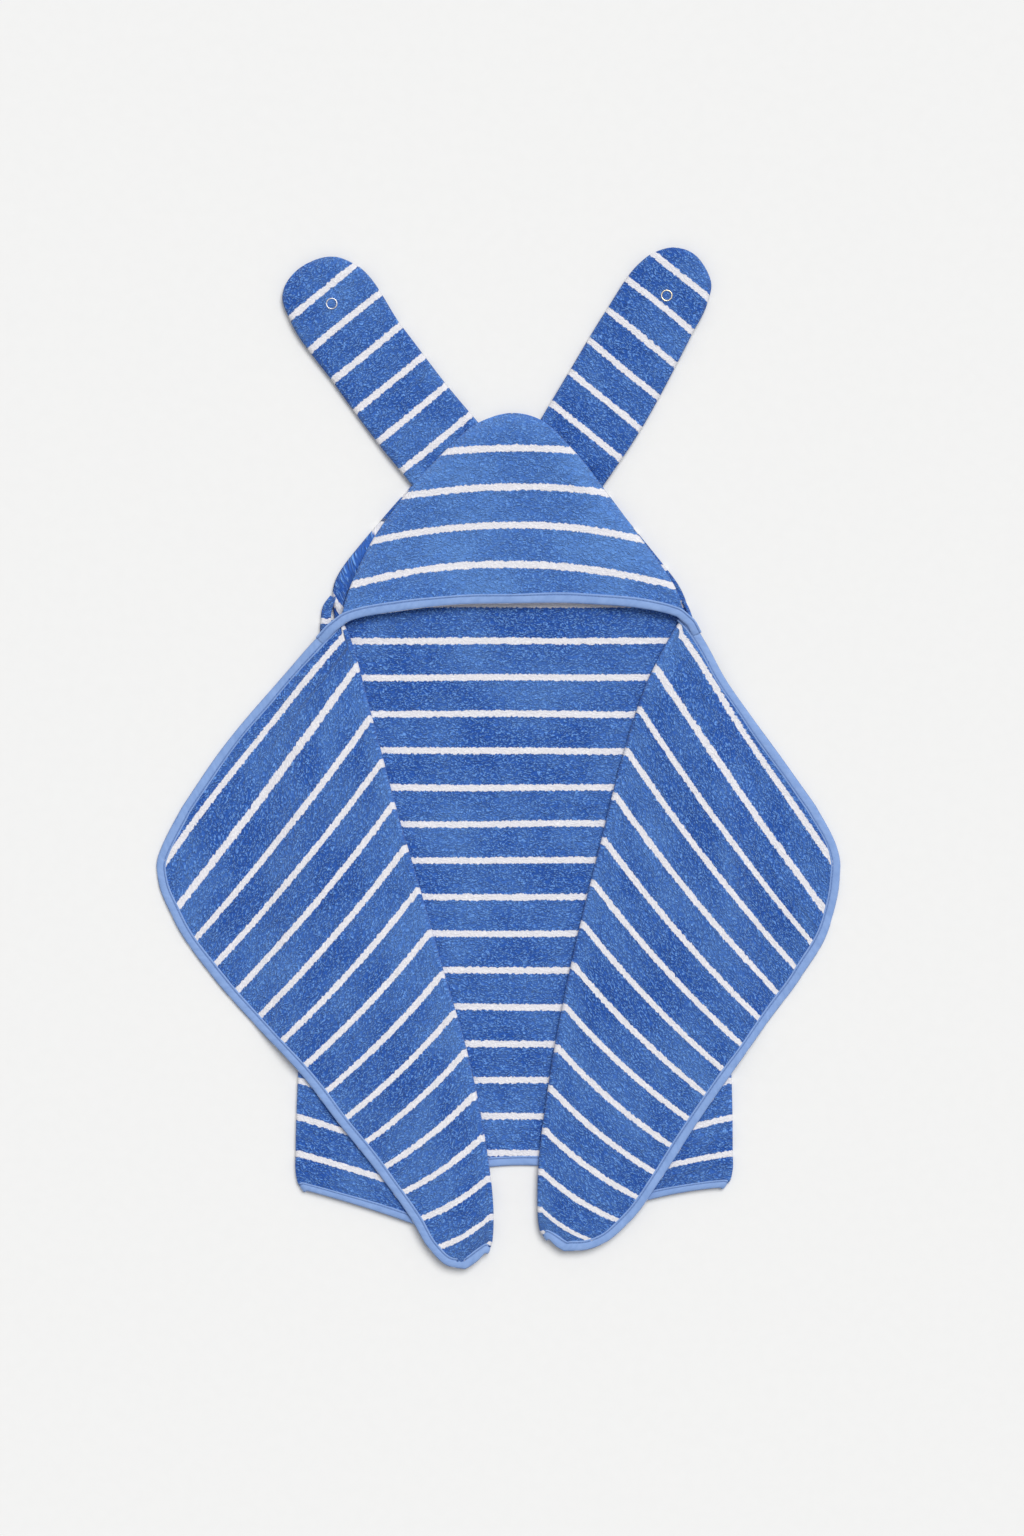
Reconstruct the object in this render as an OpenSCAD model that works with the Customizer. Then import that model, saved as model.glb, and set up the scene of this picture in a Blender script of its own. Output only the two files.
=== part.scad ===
// Hooded baby towel, laid flat with its two sides folded over and back out again.
// Millimetres. +Z up, +Y towards the ears, origin at the centre of the underside.

/* [Cloth] */
// Thickness of one layer of terry
cloth_t = 3.2; // [2.6:0.1:3.6]
// Air left between two layers that lie on each other
layer_gap = 0.4; // [0.3:0.05:0.6]
// Width of the woven binding that wraps the raw edges
binding_w = 9.5; // [7:0.5:12]
// Thickness of the binding tape
tape_t = 0.8; // [0.4:0.1:1]

/* [Hood] */
// Height of the pocket between the hood's back and its front
pocket_h = 6.4; // [5:0.2:8]
// Width of the sewn seam round the hood
seam_w = 5; // [3:0.5:8]

/* [Ears] */
// Thickness of one layer of an ear
ear_t = 2.9; // [2.4:0.1:3.1]
// Gap between an ear's root and the hood's seam
ear_gap = 2.5; // [2:0.25:4]

/* [Snaps] */
// Radius of a snap's open prong ring
ring_r = 5.5; // [5:0.1:6]
// Radius of the hole in the prong ring
ring_hole_r = 4; // [3:0.1:4.4]
// Radius of the stud's head
stud_r = 1.95; // [1.8:0.05:2]
// Radius of the socket's bore
socket_r = 2.1; // [2.05:0.01:2.2]

/* [Hidden] */

$fn = 48;

TERRY = [0.29, 0.47, 0.77];
TERRY_SHADE = [0.25, 0.42, 0.72];
BINDING = [0.53, 0.66, 0.85];
PEWTER = [0.72, 0.72, 0.74];
GOLD = [0.82, 0.76, 0.62];

// Undersides of the three layers that lie on each other at the sides
side_z = cloth_t + layer_gap;
wing_z = 2 * side_z;
// The pocket's front lies over the hood's back
front_z = cloth_t + pocket_h;
// The ears come out between the hood's two layers
ear_z = side_z;
// Line where the hood folds up from the panel
neck_y = 128;
neck_gap = 1;
// Room on each side of a fold line
fold_gap = 0.5;
steps = 6;

// Outlines, as points that a smooth curve runs through.

// Outer folds, where a side panel turns back over the centre panel
left_outer_fold = [[-160, neck_y - 1], [-187, -385]];
right_outer_fold = [[182, neck_y - 1], [216, -385]];
// Inner folds, where a wing turns back out over the side panel: the straight line it opens on
left_inner_fold = [[-129, 123], [8, -450]];
right_inner_fold = [[142, 128], [14, -442]];
// The rolled edge of the cloth along each inner fold, from the hood to the tip
left_roll = [[-141, 125], [-116, 36], [-95, -43], [-72, -121], [-50, -198], [-29, -270], [-13, -348],
             [-5, -421], [-8, -480]];
right_roll = [[167, 130], [141, 83], [115, 7], [94, -75], [66, -190], [45, -303], [36, -379],
              [36, -418], [44, -470]];
// Bottom edge of the centre panel, from left to right past both folds
centre_hem = [[-215, -402], [-120, -394], [-50, -383], [15, -377], [90, -383], [150, -390],
              [240, -399]];
// Bottom edges of the side panels, from past the outer fold to past the inner one
left_side_hem = [[-215, -395], [-142, -407], [-84, -426], [20, -462]];
right_side_hem = [[240, -394], [150, -408], [100, -424], [-10, -462]];
// Bound edges of the wings, from the hood's corner to the tip of the inner fold
left_wing_edge = [[-152, 122], [-222, 55], [-284, -18], [-307, -66], [-314, -98], [-303, -139],
                  [-261, -204], [-188, -282], [-142, -342], [-91, -406], [-54, -463], [-31, -471],
                  [-12, -464], [-7, -450]];
right_wing_edge = [[167, 124], [182, 117], [210, 72], [222, 45], [277, -24], [307, -70], [314, -107],
                   [300, -167], [268, -213], [213, -291], [171, -351], [130, -415], [93, -448],
                   [70, -454], [46, -447], [37, -430]];
// Slanted seam of the hood, from its left corner over the top to its right corner
hood_seam = [[-151, 130], [-140, 163], [-116, 203], [-80, 251], [-46, 282], [-19, 308], [12, 317],
             [40, 310], [70, 282], [105, 242], [130, 209], [150, 183], [166, 158], [177, 130]];
// Face opening's edge, from past the left corner to past the right one
face_edge = [[-170, 129], [-91, 136], [-45, 141], [10, 142], [75, 142], [130, 137], [195, 129]];
// Ears: the two ends of the root, then the side and the round tip between them
left_ear_root = [[-80, 252], [-20, 308]];
left_ear_edge = [[-20, 308], [-47, 342], [-89, 397], [-134, 457], [-148, 464], [-174, 459],
                 [-190, 444], [-199, 425], [-192, 403], [-151, 344], [-109, 287], [-80, 252]];
left_snap_at = [-153.5, 417.5];
right_ear_root = [[39, 311], [98, 253]];
right_ear_edge = [[98, 253], [129, 300], [178, 390], [192, 419], [195, 433], [184, 461], [159, 471],
                  [144, 467], [130, 456], [98, 411], [63, 353], [39, 311]];
right_snap_at = [154, 425];

// Catmull-Rom curve through the points, with even steps between each two.
function spline_point(a, b, c, d, t) =
    0.5 * (2 * b + (c - a) * t + (2 * a - 5 * b + 4 * c - d) * t * t
        + (3 * b - a - 3 * c + d) * t * t * t);

function spline(pts) = [
    for (i = [0 : len(pts) - 2], s = [0 : steps - 1])
        spline_point(
            pts[max(i - 1, 0)], pts[i], pts[i + 1], pts[min(i + 2, len(pts) - 1)], s / steps
        ),
    pts[len(pts) - 1]
];

function unit(v) = v / norm(v);

function left_of(v) = [-v.y, v.x];

function reversed(pts) = [for (i = [len(pts) - 1 : -1 : 0]) pts[i]];

// The same curve moved sideways: positive is to the left of its direction.
function beside(pts, distance) = [
    for (i = [0 : len(pts) - 1])
        let (along = pts[min(i + 1, len(pts) - 1)] - pts[max(i - 1, 0)])
        pts[i] + distance * left_of(unit(along))
];

// A point that turns with a closed loop of radius r
function on_circle(r, angle) = r * [cos(angle), sin(angle)];

// Part of the plane on the left of a line, wide enough for the whole towel.
module left_side_of(line, gap = fold_gap) {
    along = unit(line[1] - line[0]);
    out = left_of(along);
    reach = 1500;
    polygon([
        line[0] - reach * along + gap * out,
        line[0] + reach * along + gap * out,
        line[0] + reach * along + reach * out,
        line[0] - reach * along + reach * out
    ]);
}

// A strip from one distance to another inside a curve's left side.
module strip(curve, from, to) {
    polygon(concat(beside(curve, from), reversed(beside(curve, to))));
}

module layer(z, t) {
    translate([0, 0, z]) linear_extrude(t) children();
}

// Binding: a tape folded over a raw edge. The cloth lies on the curve's left.
module folded_tape(curve, z) {
    layer(z, cloth_t) strip(curve, 0, tape_t);
    for (face_z = [z, z + cloth_t - tape_t]) {
        layer(face_z, tape_t) strip(curve, 0, binding_w);
    }
}

// One terry layer whose bound edge is pressed thin inside its binding.
// The outline is closed by the points in rest, which have no binding.
module bound_layer(curve, rest, z) {
    layer(z, cloth_t) polygon(concat(beside(curve, binding_w), rest));
    layer(z + tape_t, cloth_t - 2 * tape_t) polygon(concat(beside(curve, tape_t), rest));
}

// A curve that has its cloth above it, closed well above the hood.
module above(curve, distance) {
    polygon(concat(beside(curve, distance), [[260, 340], [-260, 340]]));
}

// Centre panel, on the floor between the two outer folds.

centre_curve = spline(centre_hem);
neck_line = [[250, neck_y - neck_gap], [-250, neck_y - neck_gap]];

module centre_area() {
    intersection() {
        left_side_of(left_outer_fold);
        left_side_of(reversed(right_outer_fold));
    }
}

module centre_panel() {
    color(TERRY) intersection() {
        bound_layer(centre_curve, neck_line, 0);
        layer(0, cloth_t) centre_area();
    }
}

module centre_hem_binding() {
    color(BINDING) intersection() {
        folded_tape(centre_curve, 0);
        layer(0, cloth_t) centre_area();
    }
}

// Side panels, folded back over the centre panel. Their tops are tucked under the hood's corners.

left_side_curve = spline(left_side_hem);
right_side_curve = reversed(spline(right_side_hem));
tuck_y = 118;

// What lies outward of an inner fold: behind its straight line and behind its rolled edge.
module outward_of_left_fold() {
    intersection() {
        left_side_of(reversed(left_inner_fold));
        polygon(concat(spline(left_roll), [[-400, -480], [-400, 125]]));
    }
}

module outward_of_right_fold() {
    intersection() {
        left_side_of(right_inner_fold);
        polygon(concat(spline(right_roll), [[400, -470], [400, 130]]));
    }
}

module left_side_area() {
    intersection() {
        left_side_of(left_outer_fold);
        outward_of_left_fold();
    }
}

module right_side_area() {
    intersection() {
        left_side_of(reversed(right_outer_fold));
        outward_of_right_fold();
    }
}

module left_side_panel() {
    color(TERRY_SHADE) intersection() {
        bound_layer(left_side_curve, [[20, tuck_y], [-215, tuck_y]], side_z);
        layer(side_z, cloth_t) left_side_area();
    }
}

module left_side_hem_binding() {
    color(BINDING) intersection() {
        folded_tape(left_side_curve, side_z);
        layer(side_z, cloth_t) left_side_area();
    }
}

module right_side_panel() {
    color(TERRY_SHADE) intersection() {
        bound_layer(right_side_curve, [[240, tuck_y], [-10, tuck_y]], side_z);
        layer(side_z, cloth_t) right_side_area();
    }
}

module right_side_hem_binding() {
    color(BINDING) intersection() {
        folded_tape(right_side_curve, side_z);
        layer(side_z, cloth_t) right_side_area();
    }
}

// Wings, folded back out on top. Their outer edges are bound from the hood to the tip.

left_wing_curve = spline(left_wing_edge);
right_wing_curve = reversed(spline(right_wing_edge));
// Corners past the inner folds that close the wings' outlines
left_wing_inside = [[40, -450], [40, 122]];
right_wing_inside = [[0, 124], [0, -430]];

module left_wing_panel() {
    color(TERRY) intersection() {
        bound_layer(left_wing_curve, left_wing_inside, wing_z);
        layer(wing_z, cloth_t) outward_of_left_fold();
    }
}

module left_wing_binding() {
    color(BINDING) intersection() {
        folded_tape(left_wing_curve, wing_z);
        layer(wing_z, cloth_t) outward_of_left_fold();
    }
}

module right_wing_panel() {
    color(TERRY) intersection() {
        bound_layer(right_wing_curve, right_wing_inside, wing_z);
        layer(wing_z, cloth_t) outward_of_right_fold();
    }
}

module right_wing_binding() {
    color(BINDING) intersection() {
        folded_tape(right_wing_curve, wing_z);
        layer(wing_z, cloth_t) outward_of_right_fold();
    }
}

// Hood: a back that lies on the floor and a front sewn to it along the slanted seam.

seam_curve = spline(hood_seam);
face_curve = spline(face_edge);

module hood_area() {
    polygon(seam_curve);
}

module hood_back() {
    color(TERRY_SHADE) layer(0, cloth_t) hood_area();
}

// The front's raw edge is pressed thin inside its binding, and its seam closes the pocket.
module hood_front() {
    wall_y = neck_y + 2 * binding_w;
    color(TERRY) {
        layer(front_z + tape_t, cloth_t - 2 * tape_t) intersection() {
            hood_area();
            above(face_curve, tape_t);
        }
        layer(front_z, cloth_t) intersection() {
            hood_area();
            above(face_curve, binding_w);
        }
        layer(cloth_t, pocket_h + cloth_t - tape_t) intersection() {
            strip(reversed(seam_curve), 0, seam_w);
            translate([-260, wall_y]) square([520, 260]);
        }
    }
}

module hood_edge_binding() {
    color(BINDING) intersection() {
        folded_tape(face_curve, front_z);
        layer(front_z, cloth_t) hood_area();
    }
}

// Ears: two layers each, pierced by the prongs of the snap near the tip.

prongs = 5;
prong_r = 0.4;
prong_circle_r = (ring_r + ring_hole_r) / 2;

module at_prongs(centre) {
    for (i = [0 : prongs - 1]) {
        translate(centre + on_circle(prong_circle_r, 360 * i / prongs)) children();
    }
}

module ear_layer(edge, root, snap_at, z) {
    layer(z, ear_t) difference() {
        intersection() {
            polygon(spline(edge));
            left_side_of(root, ear_gap);
        }
        at_prongs(snap_at) circle(prong_r);
    }
}

module left_ear_front() {
    color(TERRY) ear_layer(left_ear_edge, left_ear_root, left_snap_at, ear_z + ear_t);
}

module left_ear_back() {
    color(TERRY_SHADE) ear_layer(left_ear_edge, left_ear_root, left_snap_at, ear_z);
}

module right_ear_front() {
    color(TERRY) ear_layer(right_ear_edge, right_ear_root, right_snap_at, ear_z + ear_t);
}

module right_ear_back() {
    color(TERRY_SHADE) ear_layer(right_ear_edge, right_ear_root, right_snap_at, ear_z);
}

// Snaps: an open prong ring on top, and a socket or a stud clinched on below.

ring_t = 0.9;
ring_z = ear_z + 2 * ear_t;
flange_r = 5.2;
flange_t = 0.7;
socket_wall_r = 3.8;
socket_depth = 2.6;
groove_r = 2.9;
groove_t = 0.8;
groove_z = ear_z - flange_t - 1.6;
spring_wire_r = 0.3;
stud_neck_r = 1.5;
stud_head_t = 1.4;
stud_neck_t = 0.6;

module prong_ring(centre) {
    translate([centre.x, centre.y, ring_z]) rotate_extrude() intersection() {
        translate([prong_circle_r, 0]) scale([1, 1.2]) circle((ring_r - ring_hole_r) / 2);
        translate([ring_hole_r, 0]) square([ring_r - ring_hole_r, ring_t]);
    }
    layer(ear_z, 2 * ear_t) at_prongs(centre) circle(prong_r);
}

module left_snap_ring() {
    color(PEWTER) prong_ring(left_snap_at);
}

module right_snap_ring() {
    color(GOLD) prong_ring(right_snap_at);
}

module left_snap_socket() {
    color(PEWTER) translate([left_snap_at.x, left_snap_at.y, 0]) difference() {
        union() {
            translate([0, 0, ear_z - flange_t]) cylinder(h = flange_t, r = flange_r);
            translate([0, 0, ear_z - flange_t - socket_depth])
                cylinder(h = socket_depth + flange_t / 2, r = socket_wall_r);
        }
        translate([0, 0, ear_z - flange_t - socket_depth - 1])
            cylinder(h = socket_depth + 1, r = socket_r);
        translate([0, 0, groove_z - groove_t / 2]) cylinder(h = groove_t, r = groove_r);
    }
}

module left_snap_spring() {
    color(PEWTER) translate([left_snap_at.x, left_snap_at.y, groove_z])
        rotate_extrude() translate([groove_r - spring_wire_r - 0.1, 0]) circle(spring_wire_r);
}

module right_snap_stud() {
    color(GOLD) translate([right_snap_at.x, right_snap_at.y, 0]) {
        translate([0, 0, ear_z - flange_t]) cylinder(h = flange_t, r = flange_r);
        translate([0, 0, ear_z - flange_t - stud_neck_t])
            cylinder(h = stud_neck_t + flange_t / 2, r = stud_neck_r);
        translate([0, 0, ear_z - flange_t - stud_neck_t - stud_head_t])
            cylinder(h = stud_head_t, r = stud_r);
    }
}

centre_panel();
centre_hem_binding();
left_side_panel();
left_side_hem_binding();
left_wing_panel();
left_wing_binding();
right_side_panel();
right_side_hem_binding();
right_wing_panel();
right_wing_binding();
hood_back();
hood_front();
hood_edge_binding();
left_ear_front();
left_ear_back();
right_ear_front();
right_ear_back();
left_snap_ring();
left_snap_socket();
left_snap_spring();
right_snap_ring();
right_snap_stud();
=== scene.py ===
"""Hooded baby towel with long ears, laid flat: terry cloth, bound edges, stitching and snaps."""

import bpy
import numpy as np
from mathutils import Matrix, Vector


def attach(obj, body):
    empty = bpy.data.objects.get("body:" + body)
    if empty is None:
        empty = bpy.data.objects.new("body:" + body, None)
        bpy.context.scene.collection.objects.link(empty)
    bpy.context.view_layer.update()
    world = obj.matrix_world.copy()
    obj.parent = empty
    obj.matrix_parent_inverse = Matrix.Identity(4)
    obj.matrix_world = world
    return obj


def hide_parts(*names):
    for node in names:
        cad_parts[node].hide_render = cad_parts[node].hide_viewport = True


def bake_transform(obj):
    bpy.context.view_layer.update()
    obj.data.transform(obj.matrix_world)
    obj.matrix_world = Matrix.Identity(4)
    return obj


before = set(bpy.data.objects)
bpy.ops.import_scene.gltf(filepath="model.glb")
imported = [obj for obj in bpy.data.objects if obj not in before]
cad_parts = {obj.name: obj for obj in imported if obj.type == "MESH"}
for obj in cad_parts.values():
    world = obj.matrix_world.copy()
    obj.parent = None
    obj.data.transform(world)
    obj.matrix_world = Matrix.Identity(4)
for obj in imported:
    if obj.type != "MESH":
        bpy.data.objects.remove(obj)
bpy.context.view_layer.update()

MM = 0.001

# ---------------------------------------------------------------- sizes, in metres

CLOTH_T = 3.0 * MM
# thickness where a binding or a seam presses the pile flat, and how far in from the edge that lasts
PRESSED_T = 1.3 * MM
PRESSED_TO = 5.0 * MM
STRIPE_PITCH = 33.65 * MM
STRIPE_W = 5.9 * MM
BINDING_W = 9.3 * MM
# heights of the middle of the three layers that lie on each other
PANEL_Z = 1.6 * MM
SIDE_Z = 5.2 * MM
WING_Z = 8.9 * MM
ROLL_Z = 9.7 * MM
FLOOR_CLEAR = 0.15 * MM
# spacing of the cloth's grid
STEP = 3.0 * MM
# share of a side panel's width where its piece meets the wing's piece
SPLIT = 0.68

# The first stripe below the hood is number 1, and numbers grow towards the hem.
STRIPE_1_Y = 108.1 * MM
NECK_Y = 128 * MM
# stripe number of the bottom hem where the sides fold
HEM_N = 16.12

# ---------------------------------------------------------------- outlines, in mm
# Folds and edges of the two sides, as (stripe number, x, y).

LEFT_OUTER_FOLD = [(-0.25, -155, 150), (0, -161, 142), (0.45, -164, 127), (1.5, -163, 91),
                   (5, -169, -26), (10, -179, -195), (13, -185, -296), (15, -187, -363), (15.5, -187, -380),
                   (15.85, -184.5, -391.5), (16.12, -179.5, -399)]
LEFT_INNER_FOLD = [(-0.25, -143, 150), (0.4, -148, 129), (1, -141, 121), (3, -116, 36), (5, -95, -43),
                   (7, -72, -121), (9, -50, -198), (11, -29, -270), (13, -13, -348), (15, -5, -421),
                   (15.5, -5.5, -437), (15.8, -6.5, -446), (16.12, -9.5, -455)]
LEFT_WING_END = [(0, -291, -44), (0.3, -304, -68), (0.7, -314, -92), (1.2, -313, -114), (2, -301, -144),
                 (4, -267, -196), (6, -226, -243), (8, -184, -287), (10, -147, -335), (12, -112, -379),
                 (14, -79, -425), (15, -63, -451), (15.6, -48, -465), (16.12, -31, -468.5)]
RIGHT_OUTER_FOLD = [(-0.15, 171, 146), (0.1, 175, 138), (0.6, 180, 122), (1.5, 183, 91),
                    (5, 192, -26), (10, 206, -195), (13, 214, -296), (15, 215, -363), (15.5, 215, -378),
                    (15.85, 212, -389.5), (16.12, 206, -396.5)]
RIGHT_INNER_FOLD = [(-0.15, 167, 147), (0.4, 171, 130), (1, 164, 123), (2, 142, 83), (4, 115, 7),
                    (6, 94, -75), (9, 66, -190), (12, 45, -303), (14, 36, -379), (15, 35.5, -414),
                    (15.5, 36.5, -428), (15.8, 38.5, -436), (16.12, 43, -443)]
RIGHT_WING_END = [(0, 291, -43), (0.3, 305, -68), (0.7, 313, -90), (1.2, 313, -114), (2, 306, -148),
                  (4, 279, -199), (6, 245, -245), (8, 212, -291), (10, 181, -336), (12, 150, -384),
                  (14, 118, -427), (15, 96, -445), (15.6, 79, -451), (16.12, 60, -452)]
# Top edge of each wing, as (share of its length, x, y) from the hood's corner to the round corner.
LEFT_WING_TOP = [(0, -143, 134), (0.06, -153, 125), (0.36, -200, 74), (0.77, -260, 2), (1, -291, -44)]
RIGHT_WING_TOP = [(0, 169, 135), (0.055, 177, 126), (0.17, 190, 106), (0.34, 207.5, 74), (0.52, 230.5, 41),
                  (0.75, 259, 2), (1, 291, -43)]
# Bottom edge of the centre panel, as (x / 100 mm, x, y).
CENTRE_HEM = [(-1.95, -195, -401), (-1.2, -120, -394), (-0.5, -50, -383), (0.15, 15, -377), (0.9, 90, -383),
              (1.5, 150, -390), (2.2, 220, -399)]
# Outlines that come round to a tip, as (place, x, y), where place runs from -1 through 0 at the tip to 1.
HOOD_SEAM = [(-1, -151, 125), (-0.84, -150, 162), (-0.67, -122, 202), (-0.45, -81, 250),
             (-0.28, -50, 281), (-0.12, -18, 307.5), (0, 12, 316), (0.12, 41, 308),
             (0.24, 69, 281), (0.42, 102, 240), (0.58, 128, 207), (0.7, 149, 181), (0.84, 166, 158),
             (1, 177, 131)]
# Open edge of the hood's front, as (share of its length, x, y) from left to right.
HOOD_FACE_EDGE = [(0, -147, 121), (0.05, -134, 127), (0.18, -91, 135), (0.32, -45, 140.5), (0.5, 10, 142),
                  (0.7, 75, 142), (0.86, 130, 137.5), (0.95, 157, 132), (1, 171, 127)]

# ---------------------------------------------------------------- small mathematics


def curve(points):
    """A smooth curve through (parameter, x, y) points given in mm, as a function in metres."""
    table = np.array(points, float)
    at = table[:, 0]
    xy = table[:, 1:] * MM
    slope = np.gradient(xy, at, axis=0)

    def evaluate(q):
        q = np.clip(np.asarray(q, float), at[0], at[-1])
        i = np.clip(np.searchsorted(at, q) - 1, 0, len(at) - 2)
        h = (at[i + 1] - at[i])[..., None]
        t = (q - at[i])[..., None] / h
        return (
            (1 + 2 * t) * (1 - t) ** 2 * xy[i]
            + t * (1 - t) ** 2 * h * slope[i]
            + t * t * (3 - 2 * t) * xy[i + 1]
            + t * t * (t - 1) * h * slope[i + 1]
        )

    return evaluate


def smooth(t):
    """0 below 0, 1 above 1, and an even S between."""
    t = np.clip(t, 0, 1)
    return t * t * (3 - 2 * t)


def unit(v):
    """Vectors of length 1 in the same directions."""
    return v / np.maximum(np.linalg.norm(v, axis=-1, keepdims=True), 1e-12)


def billow(x, y, wavelength, seed=0.0):
    """Gentle unevenness between -1 and 1 with a typical wavelength."""
    k = 2 * np.pi / wavelength
    return (
        np.sin(k * (0.92 * x + 0.38 * y) + 1.7 + seed)
        + np.sin(k * 0.73 * (y - 0.55 * x) + 4.1 + 2.3 * seed)
        + np.sin(k * 1.31 * (0.3 * x - y) + 0.4 + 3.1 * seed)
    ) / 3


def stripe_y(n):
    """How far up stripe number n lies."""
    return STRIPE_1_Y - (np.asarray(n, float) - 1) * STRIPE_PITCH


def flat(p, z):
    """Plan points with a height."""
    return np.concatenate([p, np.broadcast_to(z, p.shape[:-1])[..., None]], axis=-1)


def along_rows(points):
    """Distance along each row of a grid of points."""
    gap = np.linalg.norm(np.diff(points, axis=0), axis=-1)
    return np.concatenate([np.zeros((1,) + gap.shape[1:]), np.cumsum(gap, axis=0)])


def halves(outline, count):
    """Both halves of an outline that comes round to a tip, from its ends to just short of the tip."""
    crowded = 0.997 * (1 - (1 - np.linspace(0, 1, count)) ** 1.25)
    whole = curve(outline)
    return whole(crowded - 1), whole(1 - crowded)


def normals_of(mid):
    """Surface direction of a grid. Where its rows and columns run side by side, the cloth lies flat."""
    a = unit(np.gradient(mid, axis=0))
    b = unit(np.gradient(mid, axis=1))
    square = np.cross(a, b)
    up = np.zeros_like(square)
    up[..., 2] = np.sign(square[..., 2])
    share = smooth(np.linalg.norm(square, axis=-1, keepdims=True) / 0.5)
    return unit(unit(square) * share + up * (1 - share))


# ---------------------------------------------------------------- meshes


def new_mesh(name, points, faces, cloth=None, materials=()):
    """A smooth-shaded mesh, with each point's place on the cloth where it has one."""
    mesh = bpy.data.meshes.new(name)
    mesh.from_pydata(points.tolist(), [], faces)
    mesh.validate()
    for material in materials:
        mesh.materials.append(material)
    if cloth is not None:
        layer = mesh.attributes.new("cloth", "FLOAT_VECTOR", "POINT")
        layer.data.foreach_set("vector", cloth.astype(np.float32).ravel())
    mesh.polygons.foreach_set("use_smooth", [True] * len(mesh.polygons))
    obj = bpy.data.objects.new(name, mesh)
    bpy.context.collection.objects.link(obj)
    return obj


def grid_faces(nu, nv, offset, flip):
    """Quads of a grid of points."""
    index = np.arange(nu * nv).reshape(nu, nv) + offset
    quads = np.stack([index[:-1, :-1], index[1:, :-1], index[1:, 1:], index[:-1, 1:]], axis=-1)
    quads = quads.reshape(-1, 4)
    return quads[:, ::-1] if flip else quads


def rim_loop(nu, nv):
    """Border of a grid, once round."""
    index = np.arange(nu * nv).reshape(nu, nv)
    return np.concatenate([index[:-1, 0], index[-1, :-1], index[:0:-1, -1], index[0, :0:-1]])


def folded_sheet(name, mid, cloth, thickness, material, across=None, bodies=None):
    """A closed cloth layer round a grid of middle points.

    cloth holds each point's place on the uncut cloth. Where the layer crosses a fold, across is
    each point's distance past the fold line; when bodies are given, the mesh is first set down
    laid flat along it and then folded back into place."""
    nu, nv = mid.shape[:2]
    normal = normals_of(mid)
    half = (np.broadcast_to(thickness, (nu, nv)) / 2)[..., None]
    points = np.concatenate([(mid + normal * half).reshape(-1, 3), (mid - normal * half).reshape(-1, 3)])
    points[:, 2] = np.maximum(points[:, 2], FLOOR_CLEAR)
    count = nu * nv
    rim = rim_loop(nu, nv)
    after = np.roll(rim, -1)
    sides = np.stack([rim, rim + count, after + count, after], axis=-1)
    faces = np.concatenate([grid_faces(nu, nv, 0, False), grid_faces(nu, nv, count, True), sides])
    both = np.concatenate([cloth.reshape(-1, 3), cloth.reshape(-1, 3) + [0, 0, 1]])
    obj = new_mesh(name, points, faces.tolist(), both, [material])
    if bodies:
        laid_flat = np.zeros_like(points)
        laid_flat[:, 0] = np.tile(across.reshape(-1), 2)
        blend_laid_flat(obj, laid_flat, points)
    return obj


def blend_laid_flat(obj, laid_flat, folded):
    """Set the mesh down laid flat across a fold, apply its transform, then fold it back into place."""
    obj.data.vertices.foreach_set("co", laid_flat.ravel())
    obj.data.update()
    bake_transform(obj)
    obj.data.vertices.foreach_set("co", folded.ravel())
    obj.data.update()


# Top half of the binding's section in mm: (distance in from the outer edge, height), outer edge first.
BINDING_TOP = [(0.0, 0.25), (0.35, 1.05), (1.3, 1.75), (3.0, 2.0), (5.0, 2.0), (6.6, 1.85), (7.3, 1.5),
               (7.9, 1.95), (8.7, 1.9), (9.3, 1.2)]
# distances along the tape between its small puckers and between its wider gathers
PUCKER_GAP = 6.2 * MM
GATHER_GAP = 17.1 * MM


def binding(name, path, inward, normal, across=None, bodies=None):
    """A folded tape along a path, with puckers, an edge ridge and a row of stitches on each face."""
    count = len(path)
    steps = np.concatenate([[0], np.cumsum(np.linalg.norm(np.diff(path, axis=0), axis=1))])
    top = np.array(BINDING_TOP) * MM
    section = np.concatenate([top, top[::-1] * [1, -1]])
    rings = []
    for reach, height in section:
        side = np.sign(height)
        slant = steps + 0.6 * reach
        pucker = 0.16 * MM * np.sin(2 * np.pi * slant / PUCKER_GAP + 1.3 * np.sin(steps / 0.021))
        pucker += 0.14 * MM * np.sin(2 * np.pi * slant / GATHER_GAP + 0.7)
        swell = pucker * smooth(reach / (2 * MM)) * (1 if reach < 7.0 * MM else 0.4)
        wander = 0.35 * MM * np.sin(steps / 0.031) + 0.25 * MM * np.sin(steps / 0.0117 + 1)
        edge = reach + wander * (reach / BINDING_W)
        rings.append(path + inward * edge[:, None] + normal * (height + side * swell)[:, None])
    points = np.stack(rings, axis=1)
    ns = len(section)
    index = np.arange(count * ns).reshape(count, ns)
    nxt = np.roll(index, -1, axis=1)
    faces = np.stack([index[:-1], nxt[:-1], nxt[1:], index[1:]], axis=-1).reshape(-1, 4).tolist()
    faces.append(index[0][::-1].tolist())
    faces.append(index[-1].tolist())
    flat_points = points.reshape(-1, 3)
    flat_points[:, 2] = np.maximum(flat_points[:, 2], FLOOR_CLEAR)
    cloth = np.zeros((count, ns, 3))
    cloth[..., 0] = steps[:, None]
    cloth[..., 1] = np.cumsum(np.abs(np.diff(section[:, 0], prepend=0)))[None]
    obj = new_mesh(name, flat_points, faces, cloth.reshape(-1, 3), [BINDING])
    if bodies:
        laid_flat = np.zeros_like(flat_points)
        laid_flat[:, 0] = np.repeat(across, ns)
        blend_laid_flat(obj, laid_flat, flat_points)
    sewing = stitches(name + "_stitching", path, inward, normal, steps, across, bodies)
    return obj, sewing


STITCH_GAP = 3.1 * MM
STITCH_LENGTH = 2.3 * MM
STITCH_R = 0.28 * MM
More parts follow.
